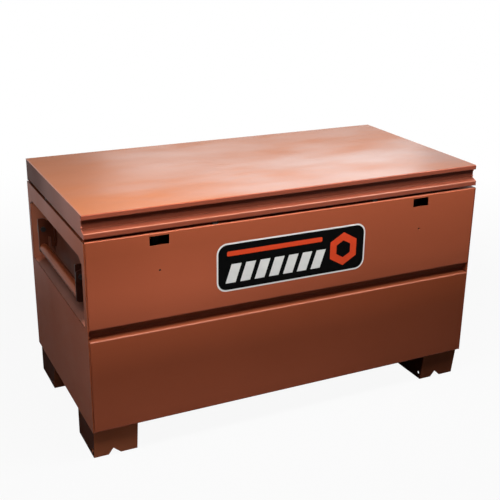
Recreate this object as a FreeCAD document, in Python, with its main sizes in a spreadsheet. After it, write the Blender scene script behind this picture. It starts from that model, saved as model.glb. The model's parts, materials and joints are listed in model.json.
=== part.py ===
import FreeCAD, Part

# A steel jobsite storage box: a folded sheet body on four pressed feet, a hinged lid with a
# grooved front, a bail handle in a pressed pocket at each end, two padlock housings behind
# windows in the front panel, and a slotted stay at each end that stops the lid.
#
# Frame: millimetres, +Z up, the floor at Z = 0, the front facing -Y, the width along X.
# X = 0 is the middle of the width. Y = 0 is the middle of the depth over the hinge knuckles.

import math
import os

import Sketcher

doc = FreeCAD.newDocument("jobsite_box")
sheet = doc.addObject("Spreadsheet::Sheet", "Sizes")
Vector = FreeCAD.Vector
nodes = []


# ---------------------------------------------------------------------------------------
# Sizes: a number together with the spreadsheet expression that gives it
# ---------------------------------------------------------------------------------------
class Size:
    """A number and the expression it comes from, so that sums of sizes stay parametric."""

    def __init__(self, value, text):
        self.value = float(value)
        self.text = text

    @staticmethod
    def of(number):
        """A size from a size or a plain number."""
        if isinstance(number, Size):
            return number
        return Size(number, repr(float(number)))

    def __add__(self, other):
        other = Size.of(other)
        return Size(self.value + other.value, f"({self.text} + {other.text})")

    def __sub__(self, other):
        other = Size.of(other)
        return Size(self.value - other.value, f"({self.text} - {other.text})")

    def __rsub__(self, other):
        return Size.of(other) - self

    def __mul__(self, other):
        other = Size.of(other)
        return Size(self.value * other.value, f"({self.text} * {other.text})")

    def __truediv__(self, other):
        other = Size.of(other)
        return Size(self.value / other.value, f"({self.text} / {other.text})")

    def __neg__(self):
        return Size(-self.value, f"(-1 * {self.text})")

    __radd__ = __add__
    __rmul__ = __mul__


def sine(angle):
    """Sine of an angle in degrees."""
    return Size(math.sin(math.radians(angle.value)), f"sin({angle.text})")


def cosine(angle):
    """Cosine of an angle in degrees."""
    return Size(math.cos(math.radians(angle.value)), f"cos({angle.text})")


def mitre(drop, run):
    """How far a sheet's inner bend lies below its outer one, per unit of thickness.

    The bend is between an upright wall and a ledge that drops by drop over run."""
    slope = math.degrees(math.atan(drop.value / run.value))
    text = f"tan(45 deg - atan({drop.text} / {run.text}) / 2)"
    return Size(math.tan(math.radians(45 - slope / 2)), text)


def bind(thing, prop, size):
    """Set a property to a size and tie it to the size's expression."""
    size = Size.of(size)
    if "." not in prop:
        setattr(thing, prop, size.value)
    thing.setExpression(prop, size.text)


def cell(alias, value, note):
    """Write one driving dimension in the spreadsheet and return it as a size."""
    row = len(cell.rows) + 1
    cell.rows.append(alias)
    sheet.set(f"A{row}", note)
    sheet.set(f"B{row}", str(value))
    sheet.setAlias(f"B{row}", alias)
    return Size(value, f"Sizes.{alias}")


cell.rows = []

# The body
width = cell("width", 1219.2, "body width over the end panels")
depth = cell("depth", 609.6, "body depth over the front and back panels")
leg_height = cell("leg_height", 92, "floor to the underside of the body")
rim_height = cell("rim_height", 635.5, "floor to the top of the body's rim")
steel = cell("steel", 2, "sheet thickness of body and lid")
bend = cell("bend", 1, "inside radius of the folds")
seam = cell("seam", 0.2, "clearance between butted sheets")
seat_gap = cell("seat_gap", 0.3, "clearance of parts that rest on each other")
rim = cell("rim", 22, "width of the flanges round the rim and under the floor")
corner_gap = cell("corner_gap", 2.5, "open seam between an end panel and the front or back")
corner_strip = cell("corner_strip", 14, "width of the strips inside the body's corners")

# The front panel's groove
groove_drop = cell("groove_drop", 242.5, "rim to the groove's upper edge")
groove_band = cell("groove_band", 33, "height of the groove on the panel's face")
groove_depth = cell("groove_depth", 14, "depth of the groove")
ledge_drop = cell("ledge_drop", 5, "fall of the groove's ledge towards the front")

# Padlock windows and housings
lock_inset = cell("lock_inset", 200.6, "end panel's face to the middle of a padlock window")
window_width = cell("window_width", 54, "width of a padlock window")
window_height = cell("window_height", 26, "height of a padlock window")
window_drop = cell("window_drop", 7.5, "rim to the top of a padlock window")
drain_drop = cell("drain_drop", 103.5, "rim to the drain hole under a window")
drain_radius = cell("drain_radius", 3.2, "radius of a drain hole")
housing_width = cell("housing_width", 96, "outside width of a padlock housing")
housing_depth = cell("housing_depth", 60, "front panel to the back of a padlock housing")
housing_height = cell("housing_height", 135, "height of a padlock housing")
housing_steel = cell("housing_steel", 3, "wall of a padlock housing")
tongue_thick = cell("tongue_thick", 5, "thickness of a lock tongue and of a staple ear")
tongue_depth = cell("tongue_depth", 28, "front to back width of a lock tongue")
tongue_reach = cell("tongue_reach", 45, "how far a lock tongue reaches below the rim")
tongue_play = cell("tongue_play", 1, "side clearance between tongue and staple ears")
shackle_radius = cell("shackle_radius", 6, "radius of the padlock hole")
shackle_rise = cell("shackle_rise", 18, "end of the tongue to the padlock hole")

# The lid
lid_gap = cell("lid_gap", 7.5, "open gap between rim and lid")
lid_height = cell("lid_height", 61.85, "height of the lid")
rib_setback = cell("rib_setback", 0.5, "front panel's face to the lid's lower rib")
rib_height = cell("rib_height", 14.5, "height of the lid's lower rib")
lid_groove = cell("lid_groove", 18.5, "front panel's face to the back of the lid's groove")
lid_ledge = cell("lid_ledge", 7.5, "fall of the lid groove's ledge towards the front")
lip_height = cell("lip_height", 14.4, "height of the lid's upper lip")
lip_setback = cell("lip_setback", 8, "front panel's face to the lid's upper lip")
lip_overhang = cell("lip_overhang", 1.2, "how far the lid's lip stands past its end plates")
lid_inset = cell("lid_inset", 2, "body's end face to the lid's end plate")
lid_return = cell("lid_return", 20, "width of the lid's inturned bottom flanges")
hat_width = cell("hat_width", 60, "width of the lid stiffener's crown")
hat_brim = cell("hat_brim", 18, "width of each brim of the lid stiffener")
hat_height = cell("hat_height", 20, "height of the lid stiffener")
hat_margin = cell("hat_margin", 100, "end of the body to the end of the lid stiffener")

# The hinge
hinge_margin = cell("hinge_margin", 4.5, "end panel's face to the end of the hinge")
knuckle_radius = cell("knuckle_radius", 4, "outside radius of a hinge knuckle")
pin_radius = cell("pin_radius", 2.5, "radius of the hinge pin")
pin_clearance = cell("pin_clearance", 0.05, "radial clearance of the hinge pin and the pivots")
leaf_thick = cell("leaf_thick", 1.8, "thickness of a hinge leaf")
leaf_height = cell("leaf_height", 34, "hinge axis to the edge of a leaf")
knuckle_gap = cell("knuckle_gap", 0.4, "gap between neighbouring knuckles")
knuckle_pairs = cell("knuckle_pairs", 5, "knuckles on each leaf")
pin_head = cell("pin_head", 1.5, "length of the peened head at each end of the hinge pin")

# The end pockets
mouth_drop = cell("mouth_drop", 50.5, "rim to the top of an end pocket's mouth")
mouth_margin = cell("mouth_margin", 25, "body's corner to an end pocket's mouth")
mouth_cut_across = cell("mouth_cut_across", 28, "mouth's cut corner, front to back")
mouth_cut_down = cell("mouth_cut_down", 14, "mouth's cut corner, downwards")
pocket_depth = cell("pocket_depth", 55, "end panel's face to the pocket's back")
pocket_slant = cell("pocket_slant", 53, "how far the pocket's ends lean in")
sill_rise = cell("sill_rise", 26, "how far the pocket's sill climbs inwards")
brow_drop = cell("brow_drop", 12, "how far the pocket's ceiling falls inwards")

# The bail handles
grip_radius = cell("grip_radius", 13.35, "outside radius of the grip tube")
grip_wall = cell("grip_wall", 2.5, "wall of the grip tube")
grip_margin = cell("grip_margin", 103.8, "body's corner to the end of the grip")
arm_thick = cell("arm_thick", 5, "thickness of a handle arm")
arm_width = cell("arm_width", 28, "width of a handle arm")
grip_lift = cell("grip_lift", 17, "pocket's sill to the lower end of a handle arm")
tail_corner = cell("tail_corner", 3, "radius of the tight corner of an arm's tail")
arm_corner = cell("arm_corner", 5, "cut corners of an arm's lower end")
pivot_inset = cell("pivot_inset", 15.5, "end panel's face to the handle pivot")
pivot_drop = cell("pivot_drop", 75, "top of the pocket's mouth to the handle pivot")
pivot_radius = cell("pivot_radius", 5, "radius of handle pivots and of the stays' studs")
ear_thick = cell("ear_thick", 5, "thickness of a handle bracket's ear")
foot_plate = cell("foot_plate", 6, "thickness of a handle bracket's foot")
bracket_top = cell("bracket_top", 30, "handle pivot to a bracket's upper end")
bracket_lift = cell("bracket_lift", 30, "pocket's sill to an ear's lower end")
foot_lift = cell("foot_lift", 42, "pocket's sill to the lower end of a bracket's foot")
bracket_shank = cell("bracket_shank", 39, "end panel's face to the lower part of an ear")
bracket_foot = cell("bracket_foot", 19, "ear's inner face to the outer end of a bracket's foot")
bracket_toe = cell("bracket_toe", 7, "how far a bracket's foot reaches under the arm")
bolt_head = cell("bolt_head", 5, "thickness of a pivot bolt's head and nut")
bolt_size = cell("bolt_size", 17, "width across corners of a pivot bolt's head")
arm_play = cell("arm_play", 0.4, "side clearance of a handle arm and of a lid stay")

# The feet
foot_width = cell("foot_width", 125, "width of a foot")
foot_depth = cell("foot_depth", 145, "depth of a foot at the floor")
foot_lean = cell("foot_lean", 12, "how far a foot's front leans forward to its top")
foot_steel = cell("foot_steel", 3, "sheet thickness of a foot")
foot_side = cell("foot_side", 5, "end panel's face to a foot")
foot_front = cell("foot_front", 24, "front panel's face to a front foot, at the floor")
foot_back = cell("foot_back", 13, "back panel's face to a rear foot")
notch_start = cell("notch_start", 42, "foot's left side to its notch")
notch_width = cell("notch_width", 35, "width of the notch at the floor")
notch_apex = cell("notch_apex", 13, "left end of the notch to its apex")
notch_height = cell("notch_height", 20, "height of the notch")
tie_height = cell("tie_height", 19, "floor to the tie-down hole")
tie_setback = cell("tie_setback", 11, "foot's front to the tie-down hole")
tie_radius = cell("tie_radius", 5, "radius of the tie-down hole")

# The lid stays
bracket_thick = cell("bracket_thick", 4, "thickness of a stay bracket and of a stud's base")
stay_radius = cell("stay_radius", 235, "hinge axis to a stay's pivot and to its stud")
stay_lift = cell("stay_lift", 5.4, "angle of the stay's pivot above the hinge, in degrees")
stud_angle = cell("stud_angle", 58, "angle of the stay's stud below the hinge, in degrees")
lid_opening = cell("lid_opening", 95, "opening angle of the lid, in degrees")
stay_width = cell("stay_width", 26, "width of a stay")
stay_thick = cell("stay_thick", 4, "thickness of a stay")
slot_clearance = cell("slot_clearance", 0.3, "clearance of the stud in the stay's slot")
stay_tab = cell("stay_tab", 44, "width of the bracket that hangs a stay from the lid")
stay_flange = cell("stay_flange", 19, "width of that bracket's flange under the lid")
stud_flange = cell("stud_flange", 9, "corner radius of the screw's and the stud's heads")
stud_cap = cell("stud_cap", 2.5, "thickness of the screw's and the stud's heads")

# The bumpers
bumper_width = cell("bumper_width", 14, "width of a rubber bumper")
bumper_inset = cell("bumper_inset", 360, "end panel's face to a front bumper")
bumper_shift = cell("bumper_shift", 90, "middle of the depth to an end bumper")

doc.recompute()

# How near two points are when they count as one
same_place = 0.01

# Places that several pieces share
side = width / 2
lock_offset = side - lock_inset
front = -(depth / 2 + knuckle_radius)
back = front + depth
lid_bottom = rim_height + lid_gap
height = lid_bottom + lid_height
hinge_length = width - hinge_margin * 2
hinge_y = back + knuckle_radius
hinge_z = rim_height + lid_gap / 2
groove_top = rim_height - groove_drop
groove_low = groove_top - groove_band
mouth_top = rim_height - mouth_drop
sill_top = groove_top + sill_rise
ledge_under = mitre(ledge_drop, groove_depth) * steel
floor_half = side - steel - seam
panel_half = side - steel - corner_gap
middle = (front + back) / 2
floor_bottom = leg_height + steel
floor_top = floor_bottom + steel
pivot_x = -side + pivot_inset
pivot_height = mouth_top - pivot_drop
lid_half = side - lid_inset
arm_tail = pocket_depth - foot_plate - pivot_inset - seat_gap
arm_drop = pivot_height - sill_top - grip_lift - arm_width / 2
hole_radius = pivot_radius + pin_clearance


# ---------------------------------------------------------------------------------------
# Helpers: sketches, features and primitives that are tied to sizes
# ---------------------------------------------------------------------------------------
def new_body(label):
    """A PartDesign body that is one node of the model."""
    body = doc.addObject("PartDesign::Body", label)
    body.Label = label
    body.AllowCompound = True
    nodes.append(body)
    return body


def keep(thing, label):
    """Make a Part object one node of the model."""
    thing.Label = label
    nodes.append(thing)
    return thing


def sketch_on(body, role, offset=None):
    """An empty sketch on one of the body's origin planes, moved along its normal."""
    plane = next(item for item in body.Origin.OriginFeatures if item.Role == role)
    sketch = body.newObject("Sketcher::SketchObject", body.Label + "_sketch")
    sketch.AttachmentSupport = [(plane, "")]
    sketch.MapMode = "FlatFace"
    if offset is not None:
        bind(sketch, "AttachmentOffset.Base.z", offset)
    return sketch


def fix_point(sketch, shape, point, across, up):
    """Tie one point of a sketch to its two coordinates."""
    for kind, size in (("DistanceX", across), ("DistanceY", up)):
        size = Size.of(size)
        index = sketch.addConstraint(Sketcher.Constraint(kind, shape, point, size.value))
        sketch.setExpression(f"Constraints[{index}]", size.text)


def add_outline(sketch, corners):
    """A closed outline of straight lines through corners, each an (across, up) pair."""
    places = [Vector(Size.of(u).value, Size.of(v).value, 0) for u, v in corners]
    ends = places[1:] + places[:1]
    first = sketch.GeometryCount
    for start, end in zip(places, ends):
        sketch.addGeometry(Part.LineSegment(start, end), False)
    count = len(corners)
    for index in range(count):
        following = first + (index + 1) % count
        sketch.addConstraint(Sketcher.Constraint("Coincident", first + index, 2, following, 1))
    for index, (across, up) in enumerate(corners):
        fix_point(sketch, first + index, 1, across, up)


def add_rectangle(sketch, left, right, low, high):
    """A closed rectangle."""
    add_outline(sketch, [(left, low), (right, low), (right, high), (left, high)])


def add_circle(sketch, across, up, radius):
    """A circle."""
    radius = Size.of(radius)
    middle = Vector(Size.of(across).value, Size.of(up).value, 0)
    shape = sketch.addGeometry(Part.Circle(middle, Vector(0, 0, 1), radius.value), False)
    index = sketch.addConstraint(Sketcher.Constraint("Radius", shape, radius.value))
    sketch.setExpression(f"Constraints[{index}]", radius.text)
    fix_point(sketch, shape, 3, across, up)


def add_obround(sketch, left, right, radius):
    """A slot shape along the sketch's first axis, between two end centres."""
    radius = Size.of(radius)
    start = Vector(Size.of(left).value, 0, 0)
    end = Vector(Size.of(right).value, 0, 0)
    rise = Vector(0, radius.value, 0)
    quarter = math.pi / 2
    normal = Vector(0, 0, 1)
    near = Part.ArcOfCircle(Part.Circle(start, normal, radius.value), quarter, 3 * quarter)
    far = Part.ArcOfCircle(Part.Circle(end, normal, radius.value), -quarter, quarter)
    low = Part.LineSegment(start - rise, end - rise)
    high = Part.LineSegment(end + rise, start + rise)
    first = sketch.GeometryCount
    for curve in (near, low, far, high):
        sketch.addGeometry(curve, False)
    for index in range(4):
        following = first + (index + 1) % 4
        sketch.addConstraint(Sketcher.Constraint("Tangent", first + index, 2, following, 1))
    sketch.addConstraint(Sketcher.Constraint("Equal", first, first + 2))
    index = sketch.addConstraint(Sketcher.Constraint("Radius", first, radius.value))
    sketch.setExpression(f"Constraints[{index}]", radius.text)
    fix_point(sketch, first, 3, left, 0)
    fix_point(sketch, first + 2, 3, right, 0)


def add_feature(body, kind, sketch, length, midplane=True, reverse=False):
    """Pad or pocket a sketch, to both sides of its plane unless told otherwise."""
    feature = body.newObject("PartDesign::" + kind, body.Label + "_" + kind.lower())
    feature.Profile = sketch
    feature.Midplane = midplane
    feature.Reversed = reverse
    bind(feature, "Length", length)
    sketch.Visibility = False
    return feature


def add_fillet(body, base, places, direction, radius):
    """Round the edges of base that run along direction through places.

    A place is a pair of coordinates on the two axes across direction, in X, Y, Z order."""
    doc.recompute()
    names = []
    for number, edge in enumerate(base.Shape.Edges, start=1):
        start, end = edge.Vertexes[0].Point, edge.Vertexes[-1].Point
        run = end - start
        if run.Length < 1e-6 or abs(run[direction]) < 0.999 * run.Length:
            continue
        across = [start[axis] for axis in range(3) if axis != direction]
        for place in places:
            gaps = [abs(Size.of(size).value - value) for size, value in zip(place, across)]
            if max(gaps) < same_place:
                names.append(f"Edge{number}")
    fillet = body.newObject("PartDesign::Fillet", body.Label + "_fillet")
    fillet.Base = (base, names)
    bind(fillet, "Radius", radius)
    body.Tip = fillet
    return fillet


def add_shell(body, form, direction, opening, thickness):
    """Turn a solid form into sheet, open on the flat face at opening along direction.

    A positive thickness stands outside the form and a negative one inside."""
    doc.recompute()
    open_faces = [
        f"Face{number}" for number, face in enumerate(form.Shape.Faces, start=1)
        if abs(face.CenterOfMass[direction] - opening.value) < same_place
    ]
    shell = body.newObject("PartDesign::Thickness", body.Label + "_shell")
    shell.Base = (form, open_faces)
    shell.Join = "Intersection"
    shell.Reversed = thickness.value < 0
    bind(shell, "Value", -thickness if thickness.value < 0 else thickness)
    body.Tip = shell
    return shell


def place(thing, across=0, along=0, up=0):
    """Tie a thing's position to sizes."""
    for axis, size in (("x", across), ("y", along), ("z", up)):
        bind(thing, f"Placement.Base.{axis}", size)


def box(name, low, high):
    """A Part box between two opposite corners."""
    solid = doc.addObject("Part::Box", name)
    low = [Size.of(size) for size in low]
    high = [Size.of(size) for size in high]
    for prop, start, end in zip(("Length", "Width", "Height"), low, high):
        bind(solid, prop, end - start)
    place(solid, *low)
    return solid


TURNS = {
    "x": FreeCAD.Rotation(Vector(0, 1, 0), 90),
    "y": FreeCAD.Rotation(Vector(1, 0, 0), -90),
    "z": FreeCAD.Rotation(),
}


def cylinder(name, start, axis, radius, length):
    """A Part cylinder from the middle of its first end, along +axis."""
    solid = doc.addObject("Part::Cylinder", name)
    bind(solid, "Radius", radius)
    bind(solid, "Height", length)
    solid.Placement = FreeCAD.Placement(Vector(), TURNS[axis])
    place(solid, *start)
    return solid


def hexagon(name, start, axis, corner_radius, length):
    """A Part prism with six sides from the middle of its first end, along +axis."""
    solid = doc.addObject("Part::Prism", name)
    solid.Polygon = 6
    bind(solid, "Circumradius", corner_radius)
    bind(solid, "Height", length)
    solid.Placement = FreeCAD.Placement(Vector(), TURNS[axis])
    place(solid, *start)
    return solid


def cut(name, base, tool):
    """base less tool."""
    result = doc.addObject("Part::Cut", name)
    result.Base = base
    result.Tool = tool
    return result


def fuse(name, *parts):
    """Several solids as one."""
    result = doc.addObject("Part::MultiFuse", name)
    result.Shapes = list(parts)
    return result


def group(label, *parts):
    """Separate solids that share one node."""
    result = doc.addObject("Part::Compound", label)
    result.Links = list(parts)
    return keep(result, label)


def mirrored(name, source, normal, along=0):
    """The mirror image of a part in a plane through a point on the Y axis."""
    result = doc.addObject("Part::Mirroring", name)
    result.Source = source
    result.Normal = normal
    bind(result, "Base.y", along)
    return result


def right_of(left):
    """The right-hand twin of a left-hand node."""
    label = left.Label.replace("left", "right")
    return keep(mirrored(label, left, Vector(1, 0, 0)), label)


# ---------------------------------------------------------------------------------------
# The body
# ---------------------------------------------------------------------------------------
def make_front_panel():
    """One folded sheet: rim flange, upper face, groove with a ledge, lower face, flange."""
    body = new_body("front_panel")
    inner = front + steel
    ledge_y = front + groove_depth
    ledge_z = groove_low + ledge_drop
    outer_bends = [
        (front, rim_height),
        (front, groove_top),
        (ledge_y + steel, groove_top + steel),
        (ledge_y + steel, ledge_z - ledge_under),
        (front, groove_low),
        (front, leg_height),
    ]
    inner_bends = [
        (inner, rim_height - steel),
        (inner, groove_top + steel),
        (ledge_y, groove_top),
        (ledge_y, ledge_z),
        (inner, groove_low - ledge_under),
        (inner, leg_height + steel),
    ]
    section = sketch_on(body, "YZ_Plane")
    add_outline(section, [
        (front + rim, rim_height),
        outer_bends[0], outer_bends[1],
        inner_bends[2], inner_bends[3],
        outer_bends[4], outer_bends[5],
        (front + rim, leg_height),
        (front + rim, leg_height + steel),
        inner_bends[5], inner_bends[4],
        outer_bends[3], outer_bends[2],
        inner_bends[1], inner_bends[0],
        (front + rim, rim_height - steel),
    ])
    panel = add_feature(body, "Pad", section, panel_half * 2)
    panel = add_fillet(body, panel, outer_bends, 0, bend + steel)
    panel = add_fillet(body, panel, inner_bends, 0, bend)

    cuts = sketch_on(body, "XZ_Plane", -front)
    for turn in (-1, 1):
        middle = lock_offset * turn
        top = rim_height - window_drop
        half = window_width / 2
        add_rectangle(cuts, middle - half, middle + half, top - window_height, top)
        add_circle(cuts, middle, rim_height - drain_drop, drain_radius)
    add_feature(body, "Pocket", cuts, steel * 3)


def make_back_panel():
    """One folded sheet with a flange at the rim and one under the floor."""
    body = new_body("back_panel")
    inner = back - steel
    section = sketch_on(body, "YZ_Plane")
    add_outline(section, [
        (back - rim, rim_height), (back, rim_height), (back, leg_height),
        (back - rim, leg_height), (back - rim, leg_height + steel),
        (inner, leg_height + steel), (inner, rim_height - steel),
        (back - rim, rim_height - steel),
    ])
    panel = add_feature(body, "Pad", section, panel_half * 2)
    folds = [(back, rim_height), (back, leg_height)]
    panel = add_fillet(body, panel, folds, 0, bend + steel)
    folds = [(inner, rim_height - steel), (inner, leg_height + steel)]
    add_fillet(body, panel, folds, 0, bend)


def make_floor():
    """The floor sheet lies on the flanges of the four walls."""
    low = (-floor_half, front + steel + bend + seam, floor_bottom)
    high = (floor_half, back - steel - bend - seam, floor_top)
    keep(box("floor_panel", low, high), "floor_panel")


def mouth_corners():
    """The outline of an end pocket's mouth, as (along Y, up) pairs."""
    near, far = front + mouth_margin, back - mouth_margin
    return [
        (near, groove_top), (far, groove_top),
        (far, mouth_top - mouth_cut_down), (far - mouth_cut_across, mouth_top),
        (near + mouth_cut_across, mouth_top), (near, mouth_top - mouth_cut_down),
    ]


def make_end_panel():
    """The left end: a flat sheet with the pocket's mouth, flanged at the rim and floor.

    Upright strips inside its corners back the open seams beside the front and the back, above
    and below the front panel's groove."""
    body = new_body("left_end_panel")
    web = sketch_on(body, "YZ_Plane", -side)
    add_rectangle(web, front, back, leg_height, rim_height)
    add_feature(body, "Pad", web, steel, midplane=False)
    strips = sketch_on(body, "YZ_Plane", -side)
    clear = bend + seam
    near, far = front + steel + seam, back - steel - seam
    low, high = floor_top + seam, rim_height - steel - clear
    add_rectangle(strips, near, near + steel, groove_top + steel + clear, high)
    add_rectangle(strips, near, near + steel, low, groove_low - ledge_under - clear)
    add_rectangle(strips, far - steel, far, low, high)
    add_feature(body, "Pad", strips, corner_strip, midplane=False)
    for low in (leg_height, rim_height - steel):
        flange = sketch_on(body, "YZ_Plane", -side)
        add_rectangle(flange, front + rim + seam, back - rim - seam, low, low + steel)
        plate = add_feature(body, "Pad", flange, rim, midplane=False)
    corners = [(-side, front), (-side, back)]
    add_fillet(body, plate, corners, 2, bend)
    mouth = sketch_on(body, "YZ_Plane", -side)
    add_outline(mouth, mouth_corners())
    add_feature(body, "Pocket", mouth, steel * 3)
    return body


def make_handle_pocket():
    """The left pressed pocket: slanting ends, a climbing sill and a falling ceiling."""
    body = new_body("left_handle_pocket")
    mouth_x, rear_x = -side + steel, -side + pocket_depth
    mouth = sketch_on(body, "YZ_Plane", mouth_x)
    add_outline(mouth, mouth_corners())
    add_feature(body, "Pad", mouth, pocket_depth - steel, midplane=False)
    near, far = front + mouth_margin, back - mouth_margin
    ends = sketch_on(body, "XY_Plane")
    add_outline(ends, [(mouth_x, near), (rear_x, near), (rear_x, near + pocket_slant)])
    add_outline(ends, [(mouth_x, far), (rear_x, far - pocket_slant), (rear_x, far)])
    add_feature(body, "Pocket", ends, mouth_top * 3)
    sill_and_brow = sketch_on(body, "XZ_Plane")
    add_outline(sill_and_brow, [
        (mouth_x, groove_top), (rear_x, groove_top), (rear_x, sill_top),
    ])
    add_outline(sill_and_brow, [
        (mouth_x, mouth_top), (rear_x, mouth_top - brow_drop), (rear_x, mouth_top),
    ])
    form = add_feature(body, "Pocket", sill_and_brow, depth * 3)
    add_shell(body, form, 0, mouth_x, steel)
    return body


def make_foot(label, left, near):
    """A pressed foot, open below, with a leaning front, a notch and tie-down holes.

    left and near are the foot's left side and its front at the floor."""
    body = new_body(label)
    profile = sketch_on(body, "YZ_Plane")
    add_outline(profile, [
        (0, 0), (foot_depth, 0), (foot_depth, leg_height), (-foot_lean, leg_height),
    ])
    form = add_feature(body, "Pad", profile, foot_width, midplane=False)
    add_shell(body, form, 2, Size.of(0), -foot_steel)

    notch = sketch_on(body, "XZ_Plane")
    add_outline(notch, [
        (notch_start, -foot_steel),
        (notch_start + notch_width, -foot_steel),
        (notch_start + notch_width, 0),
        (notch_start + notch_apex, notch_height),
        (notch_start, 0),
    ])
    add_feature(body, "Pocket", notch, foot_lean * 2)
    ties = sketch_on(body, "YZ_Plane")
    add_circle(ties, tie_setback, tie_height, tie_radius)
    add_feature(body, "Pocket", ties, foot_width * 3)
    place(body, left, near, 0)
    return body


def make_feet():
    """Four feet, all the same way round."""
    near = front + foot_front
    far = back - foot_back - foot_depth
    for end, left in (("left", -side + foot_side), ("right", side - foot_side - foot_width)):
        make_foot(f"front_{end}_foot", left, near)
        make_foot(f"rear_{end}_foot", left, far)


def make_lock_housing():
    """The left padlock housing: a welded tray, open towards the front panel and on top."""
    half = housing_width / 2
    wall = housing_steel
    top = rim_height - steel - bend - seat_gap
    near = front + steel
    far = front + housing_depth
    outer = box("housing_outer", (-lock_offset - half, near, top - housing_height),
                (-lock_offset + half, far, top))
    inner = box("housing_inner", (-lock_offset - half + wall, near - wall,
                                  top - housing_height + wall),
                (-lock_offset + half - wall, far - wall, top + wall))
    return keep(cut("left_lock_housing", outer, inner), "left_lock_housing")


def shackle_place():
    """The padlock hole's place, as an (along Y, up) pair."""
    return (front + rim + seat_gap + tongue_depth / 2 + tongue_play * 3,
            rim_height - tongue_reach + shackle_rise)


def make_staples():
    """Two ears on the back of each housing, one on either side of the lock tongue."""
    along, up = shackle_place()
    far = front + housing_depth - housing_steel
    ears = []
    for turn in (-1, 1):
        for hand in (-1, 1):
            near_face = tongue_thick / 2 + tongue_play
            start = near_face if hand > 0 else -(near_face + tongue_thick)
            left = lock_offset * turn + start
            plate = box("staple_plate", (left, along - shackle_radius * 2, up - shackle_radius * 2),
                        (left + tongue_thick, far, up + shackle_radius * 2))
            hole = cylinder("staple_hole", (left - tongue_play, along, up), "x",
                            shackle_radius, tongue_thick + tongue_play * 2)
            ears.append(cut("staple_ear", plate, hole))
    group("padlock_staples", *ears)


def make_bumpers():
    """Rubber pads on the rim that carry the closed lid."""
    half = bumper_width / 2
    pads = []
    for turn in (-1, 1):
        middles = [
            ((side - bumper_inset) * turn, front + rim / 2),
            ((side - rim / 2) * turn, middle + bumper_shift),
        ]
        for across, along in middles:
            low = (across - half, along - half, rim_height)
            high = (across + half, along + half, lid_bottom - seat_gap)
            pads.append(box("bumper", low, high))
    group("lid_bumpers", *pads)


# ---------------------------------------------------------------------------------------
# The hinge
# ---------------------------------------------------------------------------------------
def make_leaf(label, up, first_knuckle):
    """One leaf with its knuckles. up is 1 for the lid's leaf and -1 for the body's."""
    body = new_body(label)
    pitch = hinge_length / knuckle_pairs / 2
    clear = knuckle_radius + knuckle_gap
    near_edge = hinge_z + clear * up
    far_edge = hinge_z + leaf_height * up
    outline = sketch_on(body, "YZ_Plane")
    low, high = (near_edge, far_edge) if up > 0 else (far_edge, near_edge)
    add_rectangle(outline, back, back + leaf_thick, low, high)
    add_feature(body, "Pad", outline, hinge_length)

    start = -hinge_length / 2 + pitch * first_knuckle + knuckle_gap / 2
    finger = sketch_on(body, "YZ_Plane", start)
    low, high = (hinge_z, near_edge) if up > 0 else (near_edge, hinge_z)
    add_rectangle(finger, back, back + leaf_thick, low, high)
    tab = add_feature(body, "Pad", finger, pitch - knuckle_gap, midplane=False)
    ring = sketch_on(body, "YZ_Plane", start)
    add_circle(ring, hinge_y, hinge_z, knuckle_radius)
    knuckle = add_feature(body, "Pad", ring, pitch - knuckle_gap, midplane=False)

    row = body.newObject("PartDesign::LinearPattern", label + "_knuckles")
    row.Originals = [tab, knuckle]
    axis = next(item for item in body.Origin.OriginFeatures if item.Role == "X_Axis")
    row.Direction = (axis, [""])
    bind(row, "Length", pitch * 2 * (knuckle_pairs - 1))
    row.Occurrences = int(knuckle_pairs.value)
    row.setExpression("Occurrences", knuckle_pairs.text)
    body.Tip = row
    bore = sketch_on(body, "YZ_Plane")
    add_circle(bore, hinge_y, hinge_z, pin_radius + pin_clearance)
    add_feature(body, "Pocket", bore, hinge_length * 2)
    return body


def make_hinge_pin():
    """The pin that runs the length of the hinge, with a peened head at each end."""
    half = hinge_length / 2
    shank = cylinder("pin_shank", (-half, hinge_y, hinge_z), "x", pin_radius, hinge_length)
    heads = []
    for left in (-half - pin_head, half):
        head = cylinder("pin_end", (left, hinge_y, hinge_z), "x",
                        pin_radius + leaf_thick / 2, pin_head)
        heads.append(head)
    keep(fuse("hinge_pin", shank, *heads), "hinge_pin")


# ---------------------------------------------------------------------------------------
# The lid
# ---------------------------------------------------------------------------------------
rib_y = front + rib_setback
rib_top = lid_bottom + rib_height
wall_y = front + lid_groove
lip_y = front + lip_setback
lip_bottom = height - lip_height


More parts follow.
